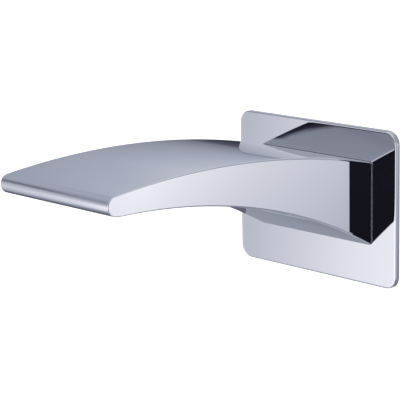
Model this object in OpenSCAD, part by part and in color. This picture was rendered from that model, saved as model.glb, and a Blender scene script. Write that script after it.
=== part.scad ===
// Wall-mounted waterfall bath spout: an arched brass blade on a thin wall plate.
// Millimetres. +Z is up, the wall is the plane y = 0, and the spout reaches out towards -Y.
// The origin is where the inlet's axis meets the wall.

/* [Arm] */
// Width of the arm, the same from the wall to the lip
arm_w = 86; // [80:1:96]
// Distance from the wall to the front of the lip
reach = 191; // [176:1:214]
// Place of the top's crest, as a share of the reach
crest_share = 0.628; // [0.6:0.002:0.66]
// Height of the crest above the inlet's axis
crest_z = 35.5; // [34.5:0.5:38]
// Height of the top at the wall, above the inlet's axis
back_top_z = 21.6; // [20.8:0.1:23]
// Place where the underside runs level, as a share of the reach
level_share = 0.948; // [0.93:0.002:0.97]
// Height of the underside there, above the inlet's axis
level_z = 20.5; // [19.1:0.1:21.3]
// Depth of the underside at the wall, below the inlet's axis
back_under_z = 25.3; // [24.9:0.1:28]
// Height of the lip's lowest point above the underside's long curve
lip_lift = 0.5; // [0.3:0.1:0.8]
// Radius of the curve that leads from the underside into the lip
lip_under_r = 40; // [25:1:60]
// Wall thickness of the hollow arm
wall = 2.8; // [2.4:0.1:3.2]

/* [Inlet block seat] */
// Thickness of the frame inside the arm that the inlet block is screwed to
frame_t = 6; // [5:0.5:8]
// Width of that frame along its top side
frame_top_w = 4.4; // [3:0.2:6]
// Width of that frame at each end
frame_end_w = 7; // [6.6:0.2:9]
// Gap round the inlet block in its pocket
block_fit = 0.15; // [0.1:0.05:0.3]
// How far the inlet block lies behind the arm's back edge
block_set = 0.3; // [0.2:0.1:0.6]

/* [Inlet block] */
// Thickness of the inlet block's flange
block_t = 8.5; // [8:0.5:10]
// Outer radius of the threaded boss
boss_r = 12.7; // [12.3:0.1:13]
// Gap between the boss and the arm round it
boss_gap = 0.5; // [0.3:0.1:0.8]
// Radius of the port at the boss's inner end
port_r = 8.5; // [7:0.5:9]
// Thickness of the shoulder round that port
port_t = 1.2; // [1:0.1:1.6]
// Thickness of the gasket in front of the block
block_seal_t = 1; // [0.8:0.1:1.5]

/* [Wall plate] */
// Width of the wall plate
plate_w = 121; // [112:1:140]
// Height of the wall plate
plate_h = 88; // [84:1:100]
// Thickness of the wall plate
plate_t = 3.3; // [2.4:0.1:4]
// Radius of the plate's corners, seen from the front
plate_corner_r = 7.5; // [5:0.5:12]
// Radius of the rounding round the plate's front edge
plate_edge_r = 1.2; // [1:0.1:2.2]
// How far the plate's centre lies below the inlet's axis
plate_drop = 4.25; // [2:0.25:6]
// Gap between the plate's middle hole and the adapter's flange
plate_hole_gap = 0.7; // [0.4:0.1:1.2]

/* [Seals at the wall] */
// Distance of the wall gasket from the plate's edge
gasket_inset = 4; // [3:0.5:6]
// Width of the wall gasket's band
gasket_w = 10; // [7:0.5:11]
// Thickness of the wall gasket
gasket_t = 1.3; // [1.1:0.1:1.8]
// How far the wall gasket stands out of the plate's back
gasket_proud = 0.3; // [0.2:0.1:0.6]
// Gap beside the wall gasket in its groove
gasket_gap = 0.25; // [0.1:0.05:0.5]
// Thickness of the seal between the arm and the plate
plate_seal_t = 0.5; // [0.4:0.1:1]
// Width of that seal's band
plate_seal_w = 5; // [4:0.5:7]

/* [Inlet adapter] */
// Outer radius of the pipe thread, half an inch nominal
thread_r = 10.48; // [10.4:0.01:10.6]
// Radial clearance of the thread in its socket
thread_fit = 0.05; // [0.02:0.01:0.08]
// Length of the tail beyond the wall
tail_l = 14; // [11:1:20]
// Length of the chamfer at the tail's end
tail_chamfer = 1; // [0.5:0.1:1.5]
// Radius of the relief groove behind the flange
neck_r = 9.4; // [9:0.1:9.8]
// Radius of the adapter's flange
flange_r = 13.5; // [13:0.1:14]
// Thickness of the adapter's flange
flange_t = 4; // [3.6:0.1:4.4]
// Radius of the water bore
bore_r = 6; // [5:0.25:6.25]
// Width across the flats of the key socket
key_af = 13; // [12.8:0.1:13.6]
// Depth of the key socket
key_l = 7; // [5:0.5:8]
// Thickness of the sealing washer between the flange and the block
washer_t = 1; // [0.8:0.1:1.2]
// Thickness of the washer between the flange and the pipe in the wall
inlet_washer_t = 1.5; // [1.2:0.1:1.6]
// How far that washer stops short of the wall
inlet_washer_set = 0.1; // [0.05:0.05:0.2]
// Gap between each washer and the thread that it slips over
washer_gap = 0.12; // [0.08:0.02:0.2]
// Gap round the adapter's flange in the block
flange_gap = 0.8; // [0.5:0.1:1]

/* [Strainer and flow disc] */
// Radius of the strainer's seat in the tail
strainer_r = 8; // [7.6:0.1:8.4]
// Thickness of the strainer's sheet
screen_t = 0.5; // [0.4:0.1:0.6]
// Thickness of the ring that holds the strainer
ring_t = 1.6; // [1.2:0.1:2]
// Width of that ring's band
ring_w = 1.4; // [1:0.1:1.8]
// Radius of each hole in the strainer
screen_hole_r = 0.55; // [0.4:0.05:0.65]
// Distance between holes in the strainer
screen_pitch = 1.7; // [1.6:0.1:2.2]
// Thickness of the flow disc
disc_t = 2.4; // [2:0.1:3]
// Radius of each hole in the flow disc
disc_hole_r = 1.1; // [0.8:0.1:1.2]
// Distance between holes in the flow disc
disc_pitch = 3.2; // [3:0.1:3.8]
// Gap round the loose discs in their seats
disc_fit = 0.08; // [0.05:0.01:0.12]

/* [Outlet] */
// Distance from the front of the lip to the middle of the slot
slot_back = 15; // [14.4:0.2:18]
// Metal between each end of the slot and the arm's side
slot_margin = 11; // [10.6:0.2:16]
// Width of the slot that the water leaves through
slot_w = 6.4; // [5:0.2:7]
// Height of the pad that stiffens the lip round the slot
pad_h = 5; // [4.8:0.1:5.2]
// How far the pad runs beyond the trim
pad_margin = 2; // [1:0.5:4]
// Thickness of the trim plate
trim_t = 1.4; // [1.2:0.1:1.6]
// Width of the trim plate, from front to back
trim_w = 15; // [14:0.5:16]
// Metal between each end of the trim plate and the arm's side
trim_margin = 2.5; // [2:0.1:3]
// Gap round the trim plate in its recess
trim_fit = 0.1; // [0.05:0.01:0.2]
// How far the trim plate lies below flush
trim_set = 0.12; // [0.1:0.02:0.2]
// Width of the insert's flange round the slot
insert_flange_w = 1.3; // [1:0.1:1.5]
// Thickness of the insert's flange
insert_flange_t = 0.9; // [0.8:0.1:1]
// Wall thickness of the insert round its cells
insert_wall = 0.8; // [0.6:0.1:1]
// Thickness of each vane in the insert
vane_t = 0.7; // [0.5:0.1:1]
// Number of cells that the vanes make
cells = 16; // [10:1:20]
// Gap round the insert
insert_fit = 0.1; // [0.05:0.01:0.15]
// Thickness of the outlet's seal
outlet_seal_t = 0.6; // [0.5:0.05:0.8]
// Thickness of the outlet's screen
mesh_t = 0.3; // [0.2:0.05:0.4]
// Radius of each hole in the outlet's screen
mesh_hole_r = 0.7; // [0.5:0.05:0.8]
// Number of holes along the outlet's screen
mesh_cols = 26; // [16:1:28]
// Number of rows of holes in the outlet's screen
mesh_rows = 3; // [2:1:3]

/* [Screws] */
// Shank radius of the screws that hold the inlet block
block_screw_r = 1.5; // [1.4:0.05:1.6]
// Head radius of those screws
block_head_r = 2.75; // [2.6:0.05:2.8]
// Head height of those screws
block_head_h = 3; // [2.6:0.1:3.2]
// Thread length of those screws inside the frame
block_grip = 4.5; // [3.5:0.1:4.8]
// Thickness of the washer under each of their heads
head_washer_t = 0.5; // [0.4:0.1:0.8]
// Outer radius of that washer
head_washer_r = 3; // [2.9:0.05:3.1]
// Distance of the block's screws from the pocket's top and bottom
block_screw_inset = 5.2; // [4.6:0.1:6]
// Sideways distance of the plate's screws from the middle
plate_screw_x = 24; // [22:0.5:26]
// Shank radius of the plate's screws
plate_screw_r = 2; // [1.9:0.05:2.1]
// Head radius of the plate's screws
plate_head_r = 3.8; // [3.6:0.1:4]
// Thread length of the plate's screws inside the block
plate_grip = 6; // [5:0.5:6.5]
// Shank radius of the trim's screws
trim_screw_r = 1.25; // [1.15:0.05:1.3]
// Head radius of the trim's screws
trim_head_r = 2.2; // [2:0.05:2.3]
// Thread length of the trim's screws inside the pad
trim_grip = 2.8; // [2.4:0.1:3]
// Clearance of a shank in its tapped hole
tap_fit = 0.04; // [0.02:0.01:0.08]
// Clearance of a shank in a plain hole
hole_fit = 0.15; // [0.1:0.05:0.3]
// Clearance under a screw's tip in a blind hole
tip_gap = 0.4; // [0.2:0.1:0.5]
// Width of a screw's key socket as a share of its head's diameter
socket_share = 0.5; // [0.4:0.05:0.6]

/* [Hidden] */
$fn = 64;
cut = 1;
arc_steps = 36;
lip_steps = 18;
blend_steps = 4;
search_steps = 40;

// Distances from the wall, counted outwards
plate_front = gasket_proud + plate_t;
body_back = plate_front + plate_seal_t;
block_back = body_back + block_set;
block_front = block_back + block_t;
seat_out = block_front + block_seal_t;
frame_out = seat_out + frame_t;

// The arm's side outline: two long curves, a lip, and a short curve between it and the underside
function arc_r(run, rise) = (run * run + rise * rise) / (2 * rise);
crest_out = crest_share * reach;
level_out = level_share * reach;
top_r = arc_r(crest_out - body_back, crest_z - back_top_z);
under_r = arc_r(level_out - body_back, level_z + back_under_z);
top_centre = [crest_out, crest_z - top_r];
under_centre = [level_out, level_z - under_r];

function ceiling_z(out, inset) = top_centre.y + sqrt(pow(top_r - inset, 2) - pow(out - top_centre.x, 2));
function floor_z(out, inset) = under_centre.y + sqrt(pow(under_r + inset, 2) - pow(out - under_centre.x, 2));
function floor_out(z, inset) = under_centre.x - sqrt(pow(under_r + inset, 2) - pow(z - under_centre.y, 2));

// Height left under a lip of radius r that touches the top and ends at the reach
function lip_room(r) = ceiling_z(reach - r, r) - r - lip_lift - floor_z(reach - r, 0);

// The lip's radius leaves no such height, found by halving the span between two guesses
function find_lip_r(low, high, steps) =
    let (middle = (low + high) / 2)
    steps == 0 ? middle
        : lip_room(middle) > 0 ? find_lip_r(middle, high, steps - 1)
        : find_lip_r(low, middle, steps - 1);

// The point at distance ra from a and rb from b, on the left of the way from a to b
function meeting(a, ra, b, rb) =
    let (span = norm(b - a),
         along = (b - a) / span,
         foot = (ra * ra - rb * rb + span * span) / (2 * span))
    a + foot * along + sqrt(ra * ra - foot * foot) * [-along.y, along.x];

lip_r = find_lip_r(0, crest_z - level_z, search_steps);
lip = [reach - lip_r, ceiling_z(reach - lip_r, lip_r)];
blend = meeting(under_centre, under_r + lip_under_r, lip, lip_under_r - lip_r);

function direction(from, to) = atan2(to.y - from.y, to.x - from.x);
function arc(centre, r, start, end, steps) =
    [for (i = [0:steps]) let (a = start + (end - start) * i / steps) centre + r * [cos(a), sin(a)]];

// Points of the side outline, inset from the outer skin, from one distance to the lip and back
function side_outline(inset, from) = concat(
    arc(top_centre, top_r - inset, acos((from - top_centre.x) / (top_r - inset)),
        direction(top_centre, lip), arc_steps),
    arc(lip, lip_r - inset, direction(top_centre, lip), direction(blend, lip), lip_steps),
    arc(blend, lip_under_r - inset, direction(blend, lip), direction(blend, under_centre), blend_steps),
    arc(under_centre, under_r + inset, direction(under_centre, blend),
        acos((from - under_centre.x) / (under_r + inset)), arc_steps));

// The straight pocket in the arm's back that takes the inlet block
pocket_half = arm_w / 2 - wall;
pocket_top = ceiling_z(body_back, wall);
pocket_bottom = floor_z(seat_out, wall);
pocket_h = pocket_top - pocket_bottom;
pocket_z = (pocket_top + pocket_bottom) / 2;
window_half = pocket_half - frame_end_w;
window_top = pocket_top - frame_top_w;
window_bottom = -boss_r - boss_gap;
block_screw_places = [for (x = [-1, 1], z = [-1, 1])
    [x * (pocket_half - frame_end_w / 2), pocket_z + z * (pocket_h / 2 - block_screw_inset)]];
plate_screw_places = [for (x = [-1, 1], z = [-1, 1])
    [x * plate_screw_x, pocket_z + z * (pocket_h / 2 - block_screw_inset)]];

// The boss ends where the arm's rising floor comes near it
socket_r = thread_r + thread_fit;
flange_back = inlet_washer_set + inlet_washer_t;
flange_front = flange_back + flange_t;
counterbore_out = flange_front + washer_t;
boss_out = floor_out(window_bottom, wall);
disc_out = boss_out - port_t;
adapter_out = disc_out - disc_t;

// The outlet is set square to the underside at the slot
slot_out = reach - slot_back;
slot_tilt = asin((slot_out - under_centre.x) / under_r);
slot_half = arm_w / 2 - slot_margin;
trim_half = arm_w / 2 - trim_margin;
trim_screw_x = (slot_half + insert_flange_w + trim_half) / 2;
trim_top = trim_set + trim_t;
seal_top = trim_top + outlet_seal_t;
flange_top = seal_top + insert_flange_t;

// Turns a shape so that its height runs out from the wall and its own y runs up
module outward() {
    rotate([90, 0, 0]) children();
}

// Extrudes an outline of [distance from the wall, height] across the arm
module across(width) {
    rotate([90, 0, -90]) translate([0, 0, -width / 2]) linear_extrude(width) children();
}

// A round bar along the outward direction, from one distance from the wall to another
module bar(r, from, to) {
    outward() translate([0, 0, from]) cylinder(h = to - from, r = r);
}

// A slab along the outward direction that fills an outline drawn as seen from the front
module slab(from, to) {
    outward() translate([0, 0, from]) linear_extrude(to - from) children();
}

module round_rect(w, h, r) {
    square([w - 2 * r, h], center = true);
    square([w, h - 2 * r], center = true);
    for (x = [-1, 1], y = [-1, 1])
        translate([x * (w / 2 - r), y * (h / 2 - r)]) circle(r);
}

// The plane of the slot, with z running up into the arm
module at_slot() {
    translate([0, -slot_out, floor_z(slot_out, 0)]) rotate([slot_tilt, 0, 0]) children();
}

// A box in the slot's plane, centred on the slot, between two heights
module slot_box(half, width, from, to) {
    at_slot() translate([-half, -width / 2, from]) cube([2 * half, width, to - from]);
}

// The hole for a flat-head screw: a 45 degree sink that opens below z = 0, and the shank's own hole
module sunk_hole(head_r, screw_r, depth) {
    sink = head_r - screw_r;
    translate([0, 0, -cut])
        cylinder(h = sink + cut, r1 = head_r + hole_fit + cut, r2 = screw_r + hole_fit);
    cylinder(h = depth + cut, r = screw_r + hole_fit);
}

// A key socket for a screw head
module key_socket(head_r, depth) {
    cylinder(h = depth, r = head_r * socket_share / cos(30), $fn = 6);
}

module pocket_outline(inset) {
    translate([0, pocket_z]) square([2 * (pocket_half - inset), pocket_h - 2 * inset], center = true);
}

module window_outline() {
    translate([-window_half, window_bottom]) square([2 * window_half, window_top - window_bottom]);
}

module arm_section(inset) {
    top = ceiling_z(body_back, inset);
    bottom = floor_z(body_back, inset);
    half = arm_w / 2 - inset;
    translate([-half, bottom]) square([2 * half, top - bottom]);
}

// The hollow arm: outer skin, waterway, block seat and outlet recess
module spout_body() {
    color("silver") difference() {
        across(arm_w) polygon(side_outline(0, body_back));
        slab(body_back - cut, seat_out) pocket_outline(0);
        slab(seat_out - cut, frame_out + cut) window_outline();
        difference() {
            across(2 * pocket_half) polygon(side_outline(wall, frame_out));
            slot_box(arm_w, trim_w + 2 * pad_margin, 0, pad_h);
        }
        for (p = block_screw_places)
            translate([p.x, 0, p.y]) bar(block_screw_r + tap_fit, seat_out - cut, seat_out + block_grip + tip_gap);
        slot_box(trim_half, trim_w, -cut, trim_top);
        slot_box(slot_half + insert_flange_w, slot_w + 2 * (insert_wall + insert_flange_w), 0, flange_top);
        slot_box(slot_half, slot_w + 2 * insert_wall, 0, pad_h + cut);
        at_slot() for (x = [-1, 1])
            translate([x * trim_screw_x, 0, 0])
                cylinder(h = trim_top + trim_grip + tip_gap, r = trim_screw_r + tap_fit);
    }
}

// The brass block that closes the arm's back and takes the threaded adapter
module inlet_block() {
    color("darkgoldenrod") difference() {
        union() {
            slab(block_back, block_front) pocket_outline(block_fit);
            bar(boss_r, block_back, boss_out);
        }
        bar(flange_r + flange_gap, block_back - cut, counterbore_out);
        bar(socket_r, counterbore_out - cut, disc_out);
        bar(port_r, disc_out - cut, boss_out + cut);
        for (p = block_screw_places)
            translate([p.x, 0, p.y]) {
                bar(block_screw_r + hole_fit, block_back - cut, block_front + cut);
                bar(head_washer_r + hole_fit, block_back - cut, block_back + block_head_h + head_washer_t);
            }
        for (p = plate_screw_places)
            translate([p.x, 0, p.y]) bar(plate_screw_r + tap_fit, block_back - cut, block_back + plate_grip + tip_gap);
    }
}

// The flat gasket between the block and its seat
module block_seal() {
    color("dimgray") difference() {
        slab(block_front, seat_out) pocket_outline(block_fit);
        slab(block_front - cut, seat_out + cut) window_outline();
        for (p = block_screw_places)
            translate([p.x, 0, p.y]) bar(block_screw_r + hole_fit, block_front - cut, seat_out + cut);
    }
}

// Four cap screws that clamp the block to its seat
module block_screws() {
    head_out = block_back + block_head_h;
    color("lightsteelblue") for (p = block_screw_places)
        translate([p.x, 0, p.y]) difference() {
            union() {
                bar(block_head_r, block_back, head_out);
                bar(block_screw_r, block_back, seat_out + block_grip);
            }
            outward() translate([0, 0, block_back - cut]) key_socket(block_head_r, block_head_h / 2 + cut);
        }
}

// A plain washer under each of those heads
module screw_washers() {
    head_out = block_back + block_head_h;
    color("gainsboro") for (p = block_screw_places)
        translate([p.x, 0, p.y]) difference() {
            bar(head_washer_r, head_out, head_out + head_washer_t);
            bar(block_screw_r + tap_fit, head_out - cut, head_out + head_washer_t + cut);
        }
}

// The thin seal that shows as a light line between the arm and the plate
module plate_seal() {
    color("whitesmoke") slab(plate_front, body_back) difference() {
        arm_section(0);
        arm_section(plate_seal_w);
    }
}

// A plate section: a rectangle whose two front corners are rounded
module plate_section(width) {
    intersection() {
        translate([-width / 2, 0]) square([width, plate_t]);
        union() {
            translate([-width / 2, 0]) square([width, plate_t - plate_edge_r]);
            translate([-width / 2 + plate_edge_r, 0]) square([width - 2 * plate_edge_r, plate_t]);
            for (x = [-1, 1])
                translate([x * (width / 2 - plate_edge_r), plate_t - plate_edge_r]) circle(plate_edge_r);
        }
    }
}

// A round post with the same rounded front edge, one for each corner
module plate_corner() {
    rotate_extrude() intersection() {
        plate_section(2 * plate_corner_r);
        square([plate_corner_r, plate_t]);
    }
}

module plate_blank() {
    span_x = plate_w - 2 * plate_corner_r;
    span_y = plate_h - 2 * plate_corner_r;
    rotate([90, 0, 90]) translate([0, 0, -span_x / 2]) linear_extrude(span_x) plate_section(plate_h);
    rotate([90, 0, 0]) translate([0, 0, -span_y / 2]) linear_extrude(span_y) plate_section(plate_w);
    for (x = [-1, 1], y = [-1, 1])
        translate([x * span_x / 2, y * span_y / 2, 0]) plate_corner();
}

module gasket_band(gap) {
    outer = gasket_inset - gap;
    inner = gasket_inset + gasket_w + gap;
    translate([0, -plate_drop]) difference() {
        round_rect(plate_w - 2 * outer, plate_h - 2 * outer, plate_corner_r / 2);
        square([plate_w - 2 * inner, plate_h - 2 * inner], center = true);
    }
}

// The thin wall plate with its rounded edge, screwed to the block from behind
module wall_plate() {
    color("gainsboro") difference() {
        outward() translate([0, -plate_drop, gasket_proud]) plate_blank();
        bar(flange_r + plate_hole_gap, gasket_proud - cut, plate_front + cut);
        slab(gasket_proud - cut, gasket_t) gasket_band(gasket_gap);
        for (p = plate_screw_places)
            translate([p.x, 0, p.y]) outward() translate([0, 0, gasket_proud])
                sunk_hole(plate_head_r, plate_screw_r, plate_t);
    }
}

// Four flat-head screws from behind the plate into the block
module plate_screws() {
    sink = plate_head_r - plate_screw_r;
    color("lightsteelblue") for (p = plate_screw_places)
        translate([p.x, 0, p.y]) outward() translate([0, 0, gasket_proud]) difference() {
            union() {
                cylinder(h = sink, r1 = plate_head_r, r2 = plate_screw_r);
                cylinder(h = block_back + plate_grip - gasket_proud, r = plate_screw_r);
            }
            translate([0, 0, -cut]) key_socket(plate_head_r, sink * socket_share + cut);
        }
}

// The foam band that seals the plate to the wall
module wall_gasket() {
    color("darkslategray") slab(0, gasket_t) gasket_band(0);
}

// The threaded adapter from the pipe in the wall to the block
module inlet_adapter() {
    thread_back = inlet_washer_set;
    color("goldenrod") difference() {
        union() {
            bar(thread_r, -tail_l + tail_chamfer, thread_back);
            outward() translate([0, 0, -tail_l])
                cylinder(h = tail_chamfer, r1 = thread_r - tail_chamfer, r2 = thread_r);
            bar(neck_r, thread_back - cut, flange_back + cut);
            bar(flange_r, flange_back, flange_front);
            bar(thread_r, flange_front - cut, adapter_out);
        }
        bar(bore_r, -tail_l - cut, adapter_out + cut);
        bar(strainer_r, -tail_l - cut, -tail_l + ring_t + screen_t);
        outward() translate([0, 0, adapter_out - key_l])
            cylinder(h = key_l + cut, r = key_af / 2 / cos(30), $fn = 6);
    }
}

// A flat ring along the outward direction
module ring(inner, outer, from, to) {
    difference() {
        bar(outer, from, to);
        bar(inner, from - cut, to + cut);
    }
}

// The fibre washer between the adapter's flange and the block
module adapter_washer() {
    color("firebrick") ring(thread_r + washer_gap, flange_r, flange_front, counterbore_out);
}

// The rubber washer between the adapter's flange and the pipe in the wall
module inlet_washer() {
    color("black") ring(thread_r + washer_gap, flange_r, inlet_washer_set, flange_back);
}

// Holes in rings of six, twelve and so on round a middle hole
module sieve_holes(pitch, rings, hole_r, from, to) {
    bar(hole_r, from, to);
    for (n = [1:rings], i = [0:6 * n - 1])
        rotate([0, i * 60 / n, 0]) translate([n * pitch, 0, 0]) bar(hole_r, from, to);
}

// The fine sheet that keeps grit out
module strainer_screen() {
    r = strainer_r - disc_fit;
    rings = floor((r - ring_w - screen_hole_r) / screen_pitch);
    from = -tail_l + ring_t;
    color("lightgray") difference() {
        bar(r, from, from + screen_t);
        sieve_holes(screen_pitch, rings, screen_hole_r, from - cut, from + screen_t + cut);
    }
}

// The push-in ring that holds the strainer in the tail
module strainer_ring() {
    r = strainer_r - disc_fit;
    color("darkorange") ring(r - ring_w, r, -tail_l, -tail_l + ring_t);
}

// The moulded disc that evens the flow into the arm
module flow_disc() {
    r = socket_r - disc_fit;
    rings = floor((port_r - disc_hole_r) / disc_pitch);
    color("ivory") difference() {
        bar(r, adapter_out, disc_out);
        sieve_holes(disc_pitch, rings, disc_hole_r, adapter_out - cut, disc_out + cut);
    }
}

// The comb that turns the flow into a flat sheet of water
module outlet_insert() {
    half = slot_half - insert_fit;
    width = slot_w + 2 * insert_wall - 2 * insert_fit;
    cell_span = (2 * slot_half - 2 * insert_wall) / cells;
    color("whitesmoke") difference() {
        union() {
            slot_box(half, width, seal_top, pad_h);
            slot_box(half + insert_flange_w, width + 2 * insert_flange_w, seal_top, flange_top);
        }
        at_slot() for (i = [0:cells - 1])
            translate([-slot_half + insert_wall + i * cell_span + vane_t / 2, -slot_w / 2 + insert_fit, 0])
                cube([cell_span - vane_t, slot_w - 2 * insert_fit, pad_h + cut]);
    }
}

// The seal between the trim plate and the insert's flange
module outlet_seal() {
    color("dimgray") difference() {
        slot_box(slot_half - insert_fit + insert_flange_w,
            slot_w + 2 * (insert_wall + insert_flange_w - insert_fit), trim_top, seal_top);
        slot_box(slot_half - insert_wall, slot_w, 0, seal_top + cut);
    }
}

// The perforated sheet above the comb
module outlet_screen() {
    half = slot_half - insert_fit;
    width = slot_w + 2 * insert_wall - 2 * insert_fit;
    step_x = 2 * (half - insert_wall) / mesh_cols;
    step_y = slot_w / mesh_rows;
    color("lightgray") difference() {
        slot_box(half, width, pad_h, pad_h + mesh_t);
        at_slot() for (i = [0:mesh_cols - 1], j = [0:mesh_rows - 1])
            translate([(i - (mesh_cols - 1) / 2) * step_x, (j - (mesh_rows - 1) / 2) * step_y, pad_h - cut])
                cylinder(h = mesh_t + 2 * cut, r = mesh_hole_r, $fn = 24);
    }
}

// The trim plate that frames the slot under the lip
module outlet_trim() {
    color("silver") difference() {
        slot_box(trim_half - trim_fit, trim_w - 2 * trim_fit, trim_set, trim_top);
        slot_box(slot_half - insert_wall, slot_w, 0, trim_top + cut);
        at_slot() for (x = [-1, 1])
            translate([x * trim_screw_x, 0, trim_set]) sunk_hole(trim_head_r, trim_screw_r, trim_t);
    }
}

// Two flat-head screws that hold the trim plate
module outlet_screws() {
    sink = trim_head_r - trim_screw_r;
    color("lightsteelblue") at_slot() for (x = [-1, 1])
        translate([x * trim_screw_x, 0, trim_set]) difference() {
            union() {
                cylinder(h = sink, r1 = trim_head_r, r2 = trim_screw_r);
                cylinder(h = trim_t + trim_grip, r = trim_screw_r);
            }
            translate([0, 0, -cut]) key_socket(trim_head_r, sink * socket_share + cut);
        }
}

spout_body();
inlet_block();
block_seal();
block_screws();
screw_washers();
plate_seal();
wall_plate();
plate_screws();
wall_gasket();
inlet_adapter();
adapter_washer();
inlet_washer();
strainer_screen();
strainer_ring();
flow_disc();
outlet_insert();
outlet_seal();
outlet_screen();
outlet_trim();
outlet_screws();
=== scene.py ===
from math import acos, asin, atan2, cos, pi, radians, sin, sqrt

import bmesh
import bpy
from mathutils import Matrix, Vector


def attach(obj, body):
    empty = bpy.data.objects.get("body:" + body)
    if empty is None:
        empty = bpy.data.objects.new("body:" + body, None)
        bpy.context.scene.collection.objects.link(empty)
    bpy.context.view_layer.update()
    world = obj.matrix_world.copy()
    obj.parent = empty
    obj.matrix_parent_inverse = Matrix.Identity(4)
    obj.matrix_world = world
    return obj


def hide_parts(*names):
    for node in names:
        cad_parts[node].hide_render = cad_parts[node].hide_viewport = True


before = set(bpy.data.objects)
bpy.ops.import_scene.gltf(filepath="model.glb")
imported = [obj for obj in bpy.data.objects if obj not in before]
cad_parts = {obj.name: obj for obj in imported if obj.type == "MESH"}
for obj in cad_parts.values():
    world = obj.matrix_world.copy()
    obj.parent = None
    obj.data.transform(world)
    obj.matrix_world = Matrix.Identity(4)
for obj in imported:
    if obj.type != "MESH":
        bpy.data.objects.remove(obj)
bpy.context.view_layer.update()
millimetre = 0.001
tiny = 0.0001 * millimetre        # points closer than this are one point
mergeDistance = 0.001 * millimetre    # the same, inside Geometry Nodes

cameraSettings = {
    "azimuth": 47.545,            # degrees round the spout, from straight in front of the wall
    "elevation": 12.081,
    "roll": -1.145,
    "distance": 0.995746,         # metres
    "lens": 157.5, "sensor": 36,  # millimetres
    "clip": (0.01, 50),
    "aimPoint": (0, -0.0003, -0.004),
    "aimRight": -0.067761,        # moves the aim within the picture
    "aimUp": -0.002406,
}


def placeCamera(settings):
    azimuth, elevation, roll = (radians(settings[k]) for k in ("azimuth", "elevation", "roll"))
    back = Vector((sin(azimuth) * cos(elevation), -cos(azimuth) * cos(elevation), sin(elevation)))
    levelRight = Vector((cos(azimuth), sin(azimuth), 0))
    levelUp = back.cross(levelRight)
    right = cos(roll) * levelRight + sin(roll) * levelUp
    up = cos(roll) * levelUp - sin(roll) * levelRight
    aim = Vector(settings["aimPoint"]) + right * settings["aimRight"] + up * settings["aimUp"]
    data = bpy.data.cameras.new("studioCamera")
    data.lens = settings["lens"]
    data.sensor_width = settings["sensor"]
    data.clip_start, data.clip_end = settings["clip"]
    camera = bpy.data.objects.new("studioCamera", data)
    bpy.context.scene.collection.objects.link(camera)
    axes = Matrix((right, up, back)).transposed().to_4x4()
    camera.matrix_world = Matrix.Translation(aim + back * settings["distance"]) @ axes
    bpy.context.scene.camera = camera
    bpy.context.scene.view_settings.view_transform = "Standard"


# Short ways to add nodes: a value may be a number, a colour or another node's socket
def put(socket, value):
    if isinstance(value, bpy.types.NodeSocket):
        socket.id_data.links.new(value, socket)
    else:
        socket.default_value = value


def addNode(tree, kind, inputs=(), **settings):
    node = tree.nodes.new(kind)
    node.location = (180 * (len(tree.nodes) % 12), -220 * (len(tree.nodes) // 12))
    for key, value in settings.items():
        setattr(node, key, value)
    for key, value in dict(inputs).items():
        put(node.inputs[key], value)
    return node


def calc(tree, operation, *values):
    return addNode(tree, "ShaderNodeMath", enumerate(values), operation=operation).outputs[0]


def vectorCalc(tree, operation, first, second=(0, 0, 0)):
    return addNode(tree, "ShaderNodeVectorMath", {0: first, 1: second}, operation=operation).outputs[0]


def combine(tree, x=0.0, y=0.0, z=0.0):
    return addNode(tree, "ShaderNodeCombineXYZ", {0: x, 1: y, 2: z}).outputs[0]


def split(tree, vector):
    return addNode(tree, "ShaderNodeSeparateXYZ", {0: vector}).outputs


# One range turned into another, held at its ends
def rescaled(tree, value, low, high, newLow=0.0, newHigh=1.0, kind="LINEAR"):
    inputs = {0: value, 1: low, 2: high, 3: newLow, 4: newHigh}
    return addNode(tree, "ShaderNodeMapRange", inputs, interpolation_type=kind).outputs[0]


def between(tree, factor, first, second):
    return rescaled(tree, factor, 0.0, 1.0, first, second)


def fade(tree, value, start, end):
    return rescaled(tree, value, start, end, kind="SMOOTHSTEP")


def ramp(tree, factor, stops):
    node = addNode(tree, "ShaderNodeValToRGB", {"Fac": factor})
    elements = node.color_ramp.elements
    while len(elements) < len(stops):
        elements.new(0.5)
    for element, (place, tone) in zip(elements, stops):
        element.position = place
        element.color = (*tone, 1) if isinstance(tone, tuple) else (tone, tone, tone, 1)
    return node.outputs["Color"]


def mixColour(tree, factor, first, second):
    node = addNode(tree, "ShaderNodeMix", data_type="RGBA", blend_type="MIX")
    for number, value in ((0, factor), (6, first), (7, second)):
        put(node.inputs[number], value)
    return node.outputs[2]


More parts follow.
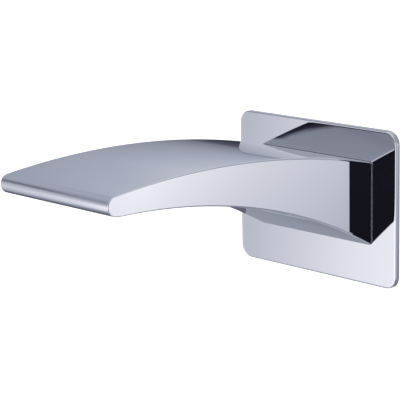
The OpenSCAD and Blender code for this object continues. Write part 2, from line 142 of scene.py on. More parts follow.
# What polished metal sees round it: light levels by height, by heading and by place from left to right,
# each of which runs from -1 to 1. Most came out of a fit to the photograph's tones by another program
studioTones = {
    "frontByHeight": [(-1, 0.6), (-0.72, 0.45), (-0.66, 0.3), (-0.63, 0.33), (-0.61, 0.4), (-0.55, 0.52),
                      (-0.48, 0.61), (-0.28, 0.72), (0.08, 0.57), (0.3, 0.36), (0.4, 0.34), (0.5, 0.36),
                      (1, 0.7)],
    "frontByHeading": [(-0.735, 1.0), (-0.72, 0.87), (-0.675, 1.33), (-0.6, 1.75), (0.2, 1.85), (0.4, 1.1),
                       (0.8, 0.95), (0.85, 0.015)],
    "lipGlow": ([(-0.62, 0), (-0.55, 0.19), (-0.48, 0.33), (-0.4, 0.37), (-0.15, 0.36), (-0.03, 0.2),
                 (0.05, 0)],
                [(-0.79, 0), (-0.765, 0.45), (-0.75, 1), (-0.735, 0.3), (-0.725, 0)]),
    "lipLine": ([(0.2, 0), (0.38, 0.17), (0.41, 0.17), (0.47, 0.05), (0.53, 0)],
                [(-0.78, 0.95), (-0.768, 0.28), (-0.755, 0)]),
    "plateEdge": ([(-0.4, 0), (-0.3, 0.4), (-0.1, 0.4), (0, 0)], [(-0.95, 1), (-0.9, 0.5), (-0.86, 0)]),
    "mirroredByHeight": [(-1, 0.15), (-0.63, 0.52), (-0.58, 0.52), (-0.5, 0.41), (-0.3, 0.39), (-0.2, 0.7),
                         (-0.1, 0.68), (0.06, 0.51), (0.2, 0.42), (0.27, 0.33), (0.33, 0.06), (0.365, 0.012),
                         (0.406, 0.012), (0.41, 0.325), (0.51, 0.4), (1, 0.7)],
    "mirroredByHeading": [(-1, 0.4), (-0.86, 1.0), (-0.79, 1.06), (-0.735, 0.95), (-0.72, 0.82),
                          (-0.66, 1.42), (0.3, 1.5), (0.42, 0.015), (0.8, 0.015), (0.92, 1.2)],
    "leftByHeight": [(-0.8, 0.45), (-0.6, 0.42), (-0.45, 0.3), (-0.3, 0.34), (-0.05, 0.08), (0, 0.18),
                     (0.03, 0.42), (0.1, 0.66), (0.4, 1.22), (1, 1.35)],
    "leftByHeading": [(-0.84, 0.35), (-0.78, 0.49), (-0.72, 0.79), (-0.7, 0.65), (-0.66, 0.5)],
    "leftShift": [(0, -0.058), (0.24, 0), (0.4, 0.012)],
    "rightByHeight": [(-0.8, 0.3), (-0.45, 0.65), (-0.27, 0.7), (-0.19, 1.05), (-0.1, 1.2), (0.1, 0.9),
                      (0.3, 0.75), (1, 0.8)],
    "rightByHeading": [(0.6, 0.6), (0.66, 0.47), (0.68, 0.66), (0.72, 0.8), (0.75, 0.97), (0.76, 1.07),
                       (0.85, 0.9)],
    "bandTop": {"level": 0.409, "lowest": 0.387, "rise": 0.962, "slope": 0.9125, "nearest": -0.56,
                "foot": 0.3},
    "leftRightFade": 0.12, "frontBackFade": 0.15, "capFade": (0.72, 0.92),
    "overhead": 0.72, "underfoot": 0.5,
    "cornerFill": 0.5,            # what is left to see after three reflections
    "tint": [(0, (0.001, 0.001, 0.004)), (0.07, (0.068, 0.07, 0.104)), (0.47, (0.438, 0.47, 0.564)),
             (1.5, (1.51, 1.5, 1.56))],
    "diffuse": 0.9,               # what everything but polished metal sees
}


# A level read off a list of stops by a height or a heading
def levelAt(tree, where, stops):
    lowest = min(0, *(level for _, level in stops))
    found = ramp(tree, rescaled(tree, where, -1.0, 1.0),
                 [((place + 1) / 2, level - lowest) for place, level in stops])
    return calc(tree, "ADD", found, lowest) if lowest else found


# A local light or dark patch: one list of levels times another
def patch(tree, first, second, tones):
    return calc(tree, "MULTIPLY", levelAt(tree, first, tones[0]), levelAt(tree, second, tones[1]))


# The front as seen after one reflection, with its patches for the lip and for the plate's edge
def plainFront(tree, tones, x, z, heading):
    front = patch(tree, z, heading, (tones["frontByHeight"], tones["frontByHeading"]))
    front = calc(tree, "ADD", front, patch(tree, z, x, tones["lipGlow"]))
    front = calc(tree, "SUBTRACT", front, patch(tree, z, x, tones["lipLine"]))
    return calc(tree, "SUBTRACT", front, patch(tree, z, heading, tones["plateEdge"]))


# The front as seen after two, where a dark band has a top that slants
def mirroredFront(tree, tones, y, z, heading):
    band = tones["bandTop"]
    slope = calc(tree, "MULTIPLY_ADD", calc(tree, "MINIMUM", y, band["nearest"]), band["slope"], band["rise"])
    raised = calc(tree, "SUBTRACT", calc(tree, "MAXIMUM", slope, band["lowest"]), band["level"])
    slant = calc(tree, "MULTIPLY", raised, rescaled(tree, z, 0.0, band["foot"]))
    stops = tones["mirroredByHeight"], tones["mirroredByHeading"]
    return patch(tree, calc(tree, "SUBTRACT", z, slant), heading, stops)


def studioLevel(tree, tones, x, y, z, secondBounce):
    squares = calc(tree, "MULTIPLY_ADD", x, x, calc(tree, "MULTIPLY_ADD", y, y, 0.000001))
    heading = calc(tree, "DIVIDE", x, calc(tree, "SQRT", squares))
    plain, mirrored = plainFront(tree, tones, x, z, heading), mirroredFront(tree, tones, y, z, heading)
    front = between(tree, secondBounce, plain, mirrored)
    leaning = calc(tree, "ADD", heading, levelAt(tree, z, tones["leftShift"]))
    left = patch(tree, z, leaning, (tones["leftByHeight"], tones["leftByHeading"]))
    right = patch(tree, z, heading, (tones["rightByHeight"], tones["rightByHeading"]))
    back = between(tree, fade(tree, x, -tones["leftRightFade"], tones["leftRightFade"]), left, right)
    around = between(tree, fade(tree, y, -tones["frontBackFade"], tones["frontBackFade"]), front, back)
    around = between(tree, fade(tree, z, *tones["capFade"]), around, tones["overhead"])
    down = calc(tree, "MULTIPLY", z, -1.0)
    return between(tree, fade(tree, down, *tones["capFade"]), around, tones["underfoot"])


def makeStudio(tones):
    world = bpy.data.worlds.new("studio")
    bpy.context.scene.world = world
    world.use_nodes = True
    tree = world.node_tree
    tree.nodes.clear()
    x, y, z = split(tree, addNode(tree, "ShaderNodeTexCoord").outputs["Generated"])
    rays = addNode(tree, "ShaderNodeLightPath").outputs
    secondBounce = calc(tree, "COMPARE", rays["Ray Depth"], 3.0, 0.5)
    deeper = calc(tree, "GREATER_THAN", rays["Ray Depth"], 3.5)
    level = between(tree, deeper, studioLevel(tree, tones, x, y, z, secondBounce), tones["cornerFill"])
    brightest = tones["tint"][-1][0]
    tints = [(tone / brightest, colour) for tone, colour in tones["tint"]]
    seen = ramp(tree, calc(tree, "DIVIDE", level, brightest), tints)
    lit = mixColour(tree, rays["Is Glossy Ray"], (tones["diffuse"],) * 3 + (1,), seen)
    white = calc(tree, "MAXIMUM", rays["Is Camera Ray"], rays["Is Transmission Ray"])
    shown = mixColour(tree, white, lit, (1, 1, 1, 1))
    background = addNode(tree, "ShaderNodeBackground", {"Color": shown, "Strength": 1.0})
    put(addNode(tree, "ShaderNodeOutputWorld").inputs[0], background.outputs[0])


floorSettings = {"height": -0.38, "size": 12.0, "colour": (0.9, 0.9, 0.9), "lift": 0.5}   # metres


def makeFloor(settings):
    half, height = settings["size"] / 2, settings["height"]
    mesh = bpy.data.meshes.new("studioFloor")
    corners = [(x * half, y * half, height) for x, y in ((-1, -1), (1, -1), (1, 1), (-1, 1))]
    mesh.from_pydata(corners, [], [(0, 1, 2, 3)])
    floor = bpy.data.objects.new("studioFloor", mesh)
    bpy.context.scene.collection.objects.link(floor)
    material = bpy.data.materials.new("paleFloor")
    material.use_nodes = True
    tree = material.node_tree
    tree.nodes.clear()
    paint = addNode(tree, "ShaderNodeBsdfDiffuse", {"Color": (*settings["colour"], 1)})
    rays = addNode(tree, "ShaderNodeLightPath").outputs
    glow = calc(tree, "MULTIPLY", rays["Is Camera Ray"], settings["lift"])
    lift = addNode(tree, "ShaderNodeEmission", {"Color": (1, 1, 1, 1), "Strength": glow})
    both = addNode(tree, "ShaderNodeAddShader", {0: paint.outputs[0], 1: lift.outputs[0]})
    put(addNode(tree, "ShaderNodeOutputMaterial").inputs[0], both.outputs[0])
    mesh.materials.append(material)
    floor.visible_glossy = False


lampSettings = {"place": (-0.9, -1.1, 1.5), "size": 1.2, "power": 9.0, "aim": (0, -0.1, 0)}


def makeLamp(settings):
    data = bpy.data.lights.new("softLamp", "AREA")
    data.size = settings["size"]
    data.energy = settings["power"]
    lamp = bpy.data.objects.new("softLamp", data)
    bpy.context.scene.collection.objects.link(lamp)
    place = Vector(settings["place"])
    turn = (place - Vector(settings["aim"])).to_track_quat("Z", "Y").to_matrix().to_4x4()
    lamp.matrix_world = Matrix.Translation(place) @ turn
    lamp.visible_glossy = False


placeCamera(cameraSettings)
makeStudio(studioTones)
makeFloor(floorSettings)
makeLamp(lampSettings)
print("camera, studio and floor are set")


def newMaterial(name):
    material = bpy.data.materials.new(name)
    material.use_nodes = True
    tree = material.node_tree
    place = addNode(tree, "ShaderNodeTexCoord").outputs["Object"]
    return material, tree, tree.nodes["Principled BSDF"].inputs, place


def noise(tree, place, scale, detail=2.0):
    return addNode(tree, "ShaderNodeTexNoise", {"Vector": place, "Scale": scale, "Detail": detail}).outputs[0]


def bump(tree, height, strength, depth):
    return addNode(tree, "ShaderNodeBump", {"Height": height, "Strength": strength,
                                            "Distance": depth}).outputs[0]


chromeSettings = {
    "colour": (0.80, 0.805, 0.82), "smooth": 0.008, "smudged": 0.035, "smudgeScale": 38.0,
    "smudgeEnds": (0.45, 0.75), "waveScale": 55.0, "waveStrength": 0.35, "waveDepth": 0.000012,
}


# A mirror with faint smudges and the very slight waviness that polishing leaves
def makeChrome(name, settings):
    material, tree, shader, place = newMaterial(name)
    shader["Metallic"].default_value = 1.0
    shader["Base Color"].default_value = (*settings["colour"], 1)
    smudges = noise(tree, place, settings["smudgeScale"], 5.0)
    shine = rescaled(tree, smudges, *settings["smudgeEnds"], settings["smooth"], settings["smudged"])
    put(shader["Roughness"], shine)
    waves = noise(tree, place, settings["waveScale"], 1.0)
    put(shader["Normal"], bump(tree, waves, settings["waveStrength"], settings["waveDepth"]))
    return material, tree, shader, place


# Sizes of the painted shade band along the plate's outline
plateRimShade = {
    "halfWidth": 0.0605, "halfHeight": 0.044, "centreZ": -0.00425, "corner": 0.0075, "width": 0.001,
    # metres
    "tones": [(0, 0.8), (0.4, 0.86), (1, 1)],
}


# A thin darker band along the plate's outline is painted shade: it stands in for the darker reflections of the
# plate's rim
def paintRimShade(chrome, settings, colour):
    material, tree, shader, place = chrome
    halves = (settings["halfWidth"] - settings["corner"], 1.0, settings["halfHeight"] - settings["corner"])
    away = vectorCalc(tree, "ABSOLUTE", vectorCalc(tree, "SUBTRACT", place, (0, 0, settings["centreZ"])))
    corner = vectorCalc(tree, "MAXIMUM", vectorCalc(tree, "SUBTRACT", away, halves))
    reach = addNode(tree, "ShaderNodeVectorMath", {0: corner}, operation="LENGTH").outputs["Value"]
    inFromEdge = calc(tree, "DIVIDE", calc(tree, "SUBTRACT", settings["corner"], reach), settings["width"])
    tones = [(spot, tuple(part * tone for part in colour)) for spot, tone in settings["tones"]]
    put(shader["Base Color"], ramp(tree, inFromEdge, tones))
    return material


siliconeSettings = {
    "colour": (0.36, 0.37, 0.40), "paler": (0.5, 0.51, 0.54), "cloudScale": 300.0, "cloudEnds": (0.3, 0.7),
    "rough": (0.32, 0.5), "glow": 0.2, "glowDepth": 0.0006,
}


def makeSilicone(name, settings):
    material, tree, shader, place = newMaterial(name)
    cloud = noise(tree, place, settings["cloudScale"], 3.0)
    tones = zip(settings["cloudEnds"], (settings["colour"], settings["paler"]))
    put(shader["Base Color"], ramp(tree, cloud, list(tones)))
    put(shader["Roughness"], between(tree, cloud, *settings["rough"]))
    shader["Subsurface Weight"].default_value = settings["glow"]
    shader["Subsurface Radius"].default_value = (settings["glowDepth"],) * 3
    return material


# Everything that isn't chromed: a mottled colour, a grain, and turned rings where a lathe made them
surfaceSettings = {
    "cast_brass": {"metal": 1.0, "colour": (0.60, 0.43, 0.19), "paler": (0.74, 0.57, 0.30),
                   "mottleScale": 140.0, "rough": (0.3, 0.5), "grainScale": 900.0, "grainDepth": 0.00005},
    "turned_brass": {"metal": 1.0, "colour": (0.70, 0.53, 0.26), "paler": (0.80, 0.64, 0.35),
                     "mottleScale": 90.0,
                     "rough": (0.16, 0.3), "grainScale": 1500.0, "grainDepth": 0.00001, "ringScale": 2200.0},
    "screw_steel": {"metal": 1.0, "colour": (0.50, 0.51, 0.53), "paler": (0.64, 0.65, 0.67),
                    "mottleScale": 420.0,
                    "rough": (0.2, 0.36), "grainScale": 2600.0, "grainDepth": 0.000012},
    "mesh_steel": {"metal": 1.0, "colour": (0.56, 0.57, 0.58), "paler": (0.70, 0.71, 0.72),
                   "mottleScale": 300.0, "rough": (0.26, 0.42), "grainScale": 3000.0, "grainDepth": 0.00001},
    "grey_rubber": {"metal": 0.0, "colour": (0.10, 0.10, 0.11), "paler": (0.15, 0.15, 0.16),
                    "mottleScale": 220.0,
                    "rough": (0.55, 0.75), "grainScale": 2400.0, "grainDepth": 0.00003},
    "black_rubber": {"metal": 0.0, "colour": (0.02, 0.02, 0.023), "paler": (0.05, 0.05, 0.055),
                     "mottleScale": 260.0,
                     "rough": (0.45, 0.65), "grainScale": 2600.0, "grainDepth": 0.00003},
    "foam_rubber": {"metal": 0.0, "colour": (0.04, 0.044, 0.048), "paler": (0.085, 0.09, 0.1),
                    "mottleScale": 500.0,
                    "rough": (0.8, 0.95), "grainScale": 1500.0, "grainDepth": 0.00022, "cells": True},
    "red_fibre": {"metal": 0.0, "colour": (0.36, 0.075, 0.045), "paler": (0.52, 0.14, 0.09),
                  "mottleScale": 700.0, "rough": (0.7, 0.85), "grainScale": 3200.0, "grainDepth": 0.00005},
    "orange_plastic": {"metal": 0.0, "colour": (0.82, 0.33, 0.06), "paler": (0.88, 0.39, 0.1),
                       "mottleScale": 180.0,
                       "rough": (0.32, 0.45), "grainScale": 1800.0, "grainDepth": 0.00001},
    "white_plastic": {"metal": 0.0, "colour": (0.82, 0.82, 0.79), "paler": (0.90, 0.90, 0.88),
                      "mottleScale": 150.0,
                      "rough": (0.3, 0.42), "grainScale": 1800.0, "grainDepth": 0.00001},
}


surfaceShared = {"detail": 4.0, "toneEnds": (0.35, 0.65), "roughEnds": (0.3, 0.7), "bump": 0.6,
                 "ringWarp": 1.5}


def makeSurface(slot, settings, shared):
    first, second = slot.split("_")
    material, tree, shader, place = newMaterial(first + second.title())
    mottle = noise(tree, place, settings["mottleScale"], shared["detail"])
    tones = zip(shared["toneEnds"], (settings["colour"], settings["paler"]))
    put(shader["Base Color"], ramp(tree, mottle, list(tones)))
    put(shader["Roughness"], rescaled(tree, mottle, *shared["roughEnds"], *settings["rough"]))
    shader["Metallic"].default_value = settings["metal"]
    grain = {"Vector": place, "Scale": settings["grainScale"]}
    height = addNode(tree, "ShaderNodeTexVoronoi" if settings.get("cells") else "ShaderNodeTexNoise",
                     grain).outputs[0]
    if "ringScale" in settings:
        turned = {"Vector": place, "Scale": settings["ringScale"], "Distortion": shared["ringWarp"]}
        rings = addNode(tree, "ShaderNodeTexWave", turned, wave_type="RINGS", rings_direction="Y")
        height = calc(tree, "ADD", height, rings.outputs["Fac"])
    put(shader["Normal"], bump(tree, height, shared["bump"], settings["grainDepth"]))
    return material


plateChrome = makeChrome("chromeOnPlate", {**chromeSettings, "waveScale": 40.0})
finishes = {
    **{slot: makeSurface(slot, settings, surfaceShared) for slot, settings in surfaceSettings.items()},
    "clear_silicone": makeSilicone("clearSilicone", siliconeSettings),
    "chrome_body": makeChrome("chromeOnBrass", chromeSettings)[0],
    # The plate's chrome gets a painted shade band along its outline
    "chrome_plate": paintRimShade(plateChrome, plateRimShade, chromeSettings["colour"]),
}
print("finishes are made")


def linked(name, mesh):
    piece = bpy.data.objects.new(name, mesh)
    bpy.context.scene.collection.objects.link(piece)
    return piece


# The piece as its modifiers leave it, as a plain mesh
def baked(piece):
    graph = bpy.context.evaluated_depsgraph_get()
    mesh = bpy.data.meshes.new_from_object(piece.evaluated_get(graph))
    piece.modifiers.clear()
    piece.data = mesh
    return piece


def runTree(piece, tree, values):
    modifier = piece.modifiers.new(tree.name, "NODES")
    modifier.node_group = tree
    for item in tree.interface.items_tree:
        if item.item_type == "SOCKET" and item.in_out == "INPUT" and item.name in values:
            modifier[item.identifier] = values[item.name]
    return baked(piece)


def cutAway(piece, cutters):
    for cutter in cutters:
        modifier = piece.modifiers.new("cut", "BOOLEAN")
        modifier.operation = "DIFFERENCE"
        modifier.solver = "EXACT"
        modifier.object = cutter
    baked(piece)
    for cutter in cutters:
        bpy.data.objects.remove(cutter)


def easeEdges(piece, width, angle):
    modifier = piece.modifiers.new("easedEdges", "BEVEL")
    modifier.width = width * millimetre
    modifier.segments = 2
    modifier.limit_method = "ANGLE"
    modifier.angle_limit = radians(angle)
    baked(piece)


# Smooth shading, but for edges that turn by more than the crease, in degrees
def softShade(piece, crease):
    piece.data.shade_smooth()
    piece.data.set_sharp_from_angle(angle=radians(crease))
    modifier = piece.modifiers.new("evenNormals", "WEIGHTED_NORMAL")
    modifier.mode = "FACE_AREA"
    modifier.weight = 80
    modifier.keep_sharp = True
    baked(piece)


# The last steps of every piece
def finishPiece(piece, slot, node, crease, ease=0, easeAngle=50, inSlot=False):
    if ease:
        easeEdges(piece, ease, easeAngle)
    if inSlot:
        toSlot(piece)
    softShade(piece, crease)
    piece.data.materials.clear()
    piece.data.materials.append(finishes[slot])
    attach(piece, "root")
    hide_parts(node)
    print("made", piece.name, len(piece.data.polygons), "faces")


# Hands a mesh to one function that changes it
def reshape(mesh, change):
    build = bmesh.new()
    build.from_mesh(mesh)
    change(build)
    build.to_mesh(mesh)
    build.free()


def turnOutward(build):
    bmesh.ops.recalc_face_normals(build, faces=build.faces)


def mergeAndTurn(build):
    bmesh.ops.remove_doubles(build, verts=build.verts, dist=tiny)
    turnOutward(build)


# Solids below are given in millimetres, and "out" is the distance from the wall
def solidFrom(name, points, faces):
    mesh = bpy.data.meshes.new(name)
    mesh.from_pydata([Vector(p) * millimetre for p in points], [], faces)
    reshape(mesh, turnOutward)
    return linked(name, mesh)


# Faces from each loop of points to the next, with a cap at both ends or closed into a ring
def loopFaces(count, loops, ring=False):
    faces = []
    for k in range(loops if ring else loops - 1):
        here, after = k * count, (k + 1) % loops * count
        faces += [(here + i, here + (i + 1) % count, after + (i + 1) % count,
                   after + i) for i in range(count)]
    if not ring:
        faces += [tuple(range(count)), tuple(range((loops - 1) * count, loops * count))]
    return faces


def boxBetween(xs, ys, zs):
    corners = [(x, y, z) for x in xs for y in ys for z in zs]
    faces = [(0, 1, 3, 2), (4, 5, 7, 6), (0, 1, 5, 4), (2, 3, 7, 6), (0, 2, 6, 4), (1, 3, 7, 5)]
    return solidFrom("cutter", corners, faces)


def outwardBox(half, outFrom, outTo, low, high):
    return boxBetween((-half, half), (-outFrom, -outTo), (low, high))


def outwardRod(x, z, radiusBack, radiusFront, outFrom, outTo, sides=64):
    points = [(x + r * cos(2 * pi * i / sides), -out, z + r * sin(2 * pi * i / sides))
              for r, out in ((radiusBack, outFrom), (radiusFront, outTo)) for i in range(sides)]
    return solidFrom("cutter", points, loopFaces(sides, 2))


# A cone for a flat screw head, with the hole that goes on from it
def sunkHole(x, z, sizes, back, through):
    sink, gap = sizes["headRadius"] - sizes["screwRadius"], sizes["screwGap"]
    hole, mouth = sizes["screwRadius"] + gap, sizes["headRadius"] + gap + 1
    bottom = back + sink
    return [outwardRod(x, z, mouth, hole, back - 1, bottom),
            outwardRod(x, z, hole, hole, bottom - 0.2, through)]


armSizes = {   # millimetres
    "width": 86.0, "reach": 191.0, "wall": 2.8,
    "backOut": 4.1, "backTopZ": 21.6, "backUnderZ": -25.3,       # the back edge, against the seal
    "crestOut": 119.948, "crestZ": 35.5,                         # the highest point of the top
    "levelOut": 181.068, "levelZ": 20.5,                         # where the underside runs level
    "lipLift": 0.5, "lipUnderRadius": 40.0,
    "edgeAtWall": 1.5, "edgeAtLip": 0.5,                         # radius of the long rounded edges
    "backEdge": 0.35, "backEdgeSteps": 3, "backEdgeAngle": 0.6,   # the angle is in radians
    "backRim": (41.2, 20.0),
    "overrun": 3.0, "clear": 70.0,                               # how far blanks and cutters go past what stays
    "cavityFrom": 19.9, "pocket": (13.9, -16.91, 18.718), "window": (33.2, 12.9, 20.9, -13.2, 14.318),
    "longSteps": 150, "lipSteps": 40, "blendSteps": 16, "edgeSteps": 7, "flatRows": 5,
    "cavitySteps": (60, 12, 6),
}


def arcRadius(run, rise):
    return (run * run + rise * rise) / (2 * rise)


# The side outline in [distance out, height]: one arc over the top, one under, the lip, and a blend behind it
class SideOutline:
    def __init__(self, sizes):
        self.sizes = sizes
        reach, under = sizes["reach"], sizes["lipUnderRadius"]
        self.topRadius = arcRadius(sizes["crestOut"] - sizes["backOut"], sizes["crestZ"] - sizes["backTopZ"])
        self.underRadius = arcRadius(sizes["levelOut"] - sizes["backOut"],
                                     sizes["levelZ"] - sizes["backUnderZ"])
        self.top = Vector((sizes["crestOut"], sizes["crestZ"] - self.topRadius))
        self.under = Vector((sizes["levelOut"], sizes["levelZ"] - self.underRadius))
        low, high = 0.0, sizes["crestZ"] - sizes["levelZ"]
        for _ in range(50):        # halves the range of the lip's radius until it fills the end
            middle = (low + high) / 2
            lowest = self.ceiling(reach - middle, middle) - middle - sizes["lipLift"]
            low, high = (middle, high) if lowest > self.floor(reach - middle, 0) else (low, middle)
        self.lipRadius = low
        self.lip = Vector((reach - low, self.ceiling(reach - low, low)))
        nearUnder, nearLip = self.underRadius + under, under - self.lipRadius
        span = (self.lip - self.under).length
        along = (self.lip - self.under) / span
        foot = (nearUnder ** 2 - nearLip ** 2 + span ** 2) / (2 * span)
        self.blend = self.under + along * foot + sqrt(nearUnder ** 2 - foot ** 2) * Vector((-along.y,
                                                                                            along.x))

    def ceiling(self, out, inset):
        return self.top.y + sqrt((self.topRadius - inset) ** 2 - (out - self.top.x) ** 2)

    def floor(self, out, inset):
        return self.under.y + sqrt((self.underRadius + inset) ** 2 - (out - self.under.x) ** 2)

    # Points and the directions they face, from one distance out, round the lip and back
    def points(self, inset, start, longSteps, lipSteps, blendSteps):
        toward = lambda a, b: atan2(b.y - a.y, b.x - a.x)
        overTop, overUnder = self.topRadius - inset, self.underRadius + inset
        arcs = [
            (self.top, overTop, acos((start - self.top.x) / overTop), toward(self.top, self.lip), longSteps,
             1),
            (self.lip, self.lipRadius - inset, toward(self.top, self.lip), toward(self.blend, self.lip),
             lipSteps, 1),
            (self.blend, self.sizes["lipUnderRadius"] - inset, toward(self.blend, self.lip),
             toward(self.blend, self.under), blendSteps, 1),
            (self.under, overUnder, toward(self.under, self.blend), acos((start - self.under.x) / overUnder),
             longSteps, -1),
        ]
        made = []
        for centre, radius, first, last, steps, facing in arcs:
            for i in range(1 if made else 0, steps + 1):
                angle = first + (last - first) * i / steps
                way = Vector((cos(angle), sin(angle)))
                made.append((centre + radius * way, way * facing))
        return made


outline = SideOutline(armSizes)
print("side outline is drawn, lip radius", round(outline.lipRadius, 2))


def groupSockets(tree, counts, lengths):
    tree.interface.new_socket("Geometry", in_out="INPUT", socket_type="NodeSocketGeometry")
    for kind, names in (("Int", counts), ("Float", lengths), ("Material", ["Finish"])):
        for name in names:
            tree.interface.new_socket(name, in_out="INPUT", socket_type="NodeSocket" + kind)
    tree.interface.new_socket("Geometry", in_out="OUTPUT", socket_type="NodeSocketGeometry")
    return addNode(tree, "NodeGroupInput").outputs, addNode(tree, "NodeGroupOutput").inputs


def attribute(tree, name, kind):
    return addNode(tree, "GeometryNodeInputNamedAttribute", {"Name": name},
                   data_type=kind).outputs["Attribute"]


def sampled(tree, geometry, value, index, kind="FLOAT_VECTOR"):
    inputs = {"Geometry": geometry, "Value": value, "Index": index}
    return addNode(tree, "GeometryNodeSampleIndex", inputs, data_type=kind).outputs[0]


# The last nodes of every tree
def dress(tree, geometry, finish, result):
    real = addNode(tree, "GeometryNodeRealizeInstances", {0: geometry})
    dressed = addNode(tree, "GeometryNodeSetMaterial", {0: real.outputs[0], "Material": finish})
    put(result["Geometry"], dressed.outputs[0])


# Spreads the side outline across the width and rounds both long edges
def armSkinTree():
    tree = bpy.data.node_groups.new("armSkin", "GeometryNodeTree")
    given, result = groupSockets(tree, ("Stations", "Rows"),
                                 ("Half Width", "Flat Rows", "Edge Rows", "Edge At Wall",
                                                              "Edge At Lip", "Wall Out", "Lip Out"))
    grid = addNode(tree, "GeometryNodeMeshGrid", {"Vertices X": given["Stations"],
                                                  "Vertices Y": given["Rows"]})
    along, over, _ = split(tree, grid.outputs["UV Map"])
    station = calc(tree, "ROUND", calc(tree, "MULTIPLY", along,
                                       calc(tree, "SUBTRACT", given["Stations"], 1.0)))
    lastRow = calc(tree, "SUBTRACT", given["Rows"], 1.0)
    row = calc(tree, "ROUND", calc(tree, "MULTIPLY", over, lastRow))
    signed = calc(tree, "SUBTRACT", row, calc(tree, "MULTIPLY", lastRow, 0.5))
    fromMiddle = calc(tree, "ABSOLUTE", signed)
    position = addNode(tree, "GeometryNodeInputPosition").outputs[0]
    place = sampled(tree, given["Geometry"], position, station)
    facing = sampled(tree, given["Geometry"], attribute(tree, "facing", "FLOAT_VECTOR"), station)
    out = calc(tree, "MULTIPLY", split(tree, place)[1], -1.0)
    edge = rescaled(tree, out, given["Wall Out"], given["Lip Out"], given["Edge At Wall"],
                    given["Edge At Lip"])
    flat = calc(tree, "MINIMUM", calc(tree, "DIVIDE", fromMiddle, given["Flat Rows"]), 1.0)
    pastFlat = calc(tree, "SUBTRACT", fromMiddle, given["Flat Rows"])
    turned = calc(tree, "MAXIMUM", calc(tree, "DIVIDE", pastFlat, given["Edge Rows"]), 0.0)
    angle = calc(tree, "MULTIPLY", turned, pi / 2)
    innerHalf = calc(tree, "SUBTRACT", given["Half Width"], edge)
    rounding = calc(tree, "MULTIPLY", edge, calc(tree, "SINE", angle))
    across = calc(tree, "ADD", calc(tree, "MULTIPLY", flat, innerHalf), rounding)
    inset = calc(tree, "MULTIPLY", edge, calc(tree, "SUBTRACT", 1.0, calc(tree, "COSINE", angle)))
    sideways = combine(tree, calc(tree, "MULTIPLY", across, calc(tree, "SIGN", signed)))
    inward = addNode(tree, "ShaderNodeVectorMath", {0: facing, "Scale": calc(tree, "MULTIPLY", inset, -1.0)},
                     operation="SCALE").outputs[0]
    placed = vectorCalc(tree, "ADD", vectorCalc(tree, "ADD", place, inward), sideways)
    skin = addNode(tree, "GeometryNodeSetPosition", {"Geometry": grid.outputs["Mesh"], "Position": placed})
    dress(tree, skin.outputs[0], given["Finish"], result)
    return tree


# The two flat sides and the open back are filled in
def closeSides(build, half):
    for side in (-half, half):
        rim = [v for v in build.verts if abs(v.co.x - side) < tiny]
        build.faces.new(sorted(rim, key=lambda v: v.index))
    build.edges.index_update()
    build.edges.ensure_lookup_table()
    bmesh.ops.holes_fill(build, edges=[e for e in build.edges if e.is_boundary])
    turnOutward(build)


def makeArmBlank(sizes):
    start = sizes["backOut"] - sizes["overrun"]
    made = outline.points(0, start, sizes["longSteps"], sizes["lipSteps"], sizes["blendSteps"])
    mesh = bpy.data.meshes.new("armOutline")
    points = [Vector((0, -p.x, p.y)) * millimetre for p, _ in made]
    mesh.from_pydata(points, [(i, i + 1) for i in range(len(made) - 1)], [])
    facing = mesh.attributes.new("facing", "FLOAT_VECTOR", "POINT")
    for i, (_, way) in enumerate(made):
        facing.data[i].vector = (0, -way.x, way.y)
    half = sizes["width"] / 2 * millimetre
    arm = runTree(linked("spoutArm", mesh), armSkinTree(), {
        "Stations": len(made), "Rows": 2 * (sizes["flatRows"] + sizes["edgeSteps"]) + 1, "Half Width": half,
        "Flat Rows": float(sizes["flatRows"]), "Edge Rows": float(sizes["edgeSteps"]),
        "Edge At Wall": sizes["edgeAtWall"] * millimetre, "Edge At Lip": sizes["edgeAtLip"] * millimetre,
        "Wall Out": sizes["backOut"] * millimetre, "Lip Out": sizes["reach"] * millimetre,
        "Finish": finishes["chrome_body"]})
    reshape(arm.data, lambda build: closeSides(build, half))
    return arm


# The slot under the lip, in its own plane: half length, width, and from which height to which
outletSizes = {   # millimetres
    "slotOut": 176.0, "screwX": 36.9,
    "pad": (60.0, 19.0, -3.0, 5.0),                              # a thicker strip that holds the slot
    # for the trim, the flange and the comb
    "recesses": [(40.5, 15.0, -2.0, 1.52), (33.3, 10.6, 0.5, 3.02), (32.0, 8.0, 0.5, 6.0)],
}


def slotMatrix():
    tilt = asin((outletSizes["slotOut"] - outline.under.x) / outline.underRadius)
    place = Vector((0, -outletSizes["slotOut"], outline.floor(outletSizes["slotOut"], 0))) * millimetre
    return Matrix.Translation(place) @ Matrix.Rotation(tilt, 4, "X")


def slotBox(half, width, low, high):
    box = boxBetween((-half, half), (-width / 2, width / 2), (low, high))
    box.data.transform(slotMatrix())
    return box


# Turns a shape made against the wall into the slot's plane, where its distance out becomes its height
def toSlot(piece):
    piece.data.transform(slotMatrix() @ Matrix.Rotation(-pi / 2, 4, "X"))


def sideSolid(half, inset, start, steps):
    made = outline.points(inset, start, *steps)
    points = [(x, -p.x, p.y) for x in (-half, half) for p, _ in made]
    return solidFrom("cutter", points, loopFaces(len(made), 2))


# A small rounding where the arm meets the plate's seal
def easeBackEdge(build, sizes):
    rimX, rimZ = (size * millimetre for size in sizes["backRim"])
    atBack = lambda v: abs(v.co.y + sizes["backOut"] * millimetre) < 10 * tiny
    outer = lambda v: atBack(v) and (abs(v.co.x) > rimX or not -rimZ < v.co.z < rimZ)
    edges = [e for e in build.edges if all(outer(v) for v in e.verts) and e.calc_length() > 0
             and len(e.link_faces) == 2 and e.calc_face_angle(0) > sizes["backEdgeAngle"]]
    bmesh.ops.bevel(build, geom=edges, offset=sizes["backEdge"] * millimetre, segments=sizes["backEdgeSteps"],
                    profile=0.5, affect="EDGES", clamp_overlap=True)


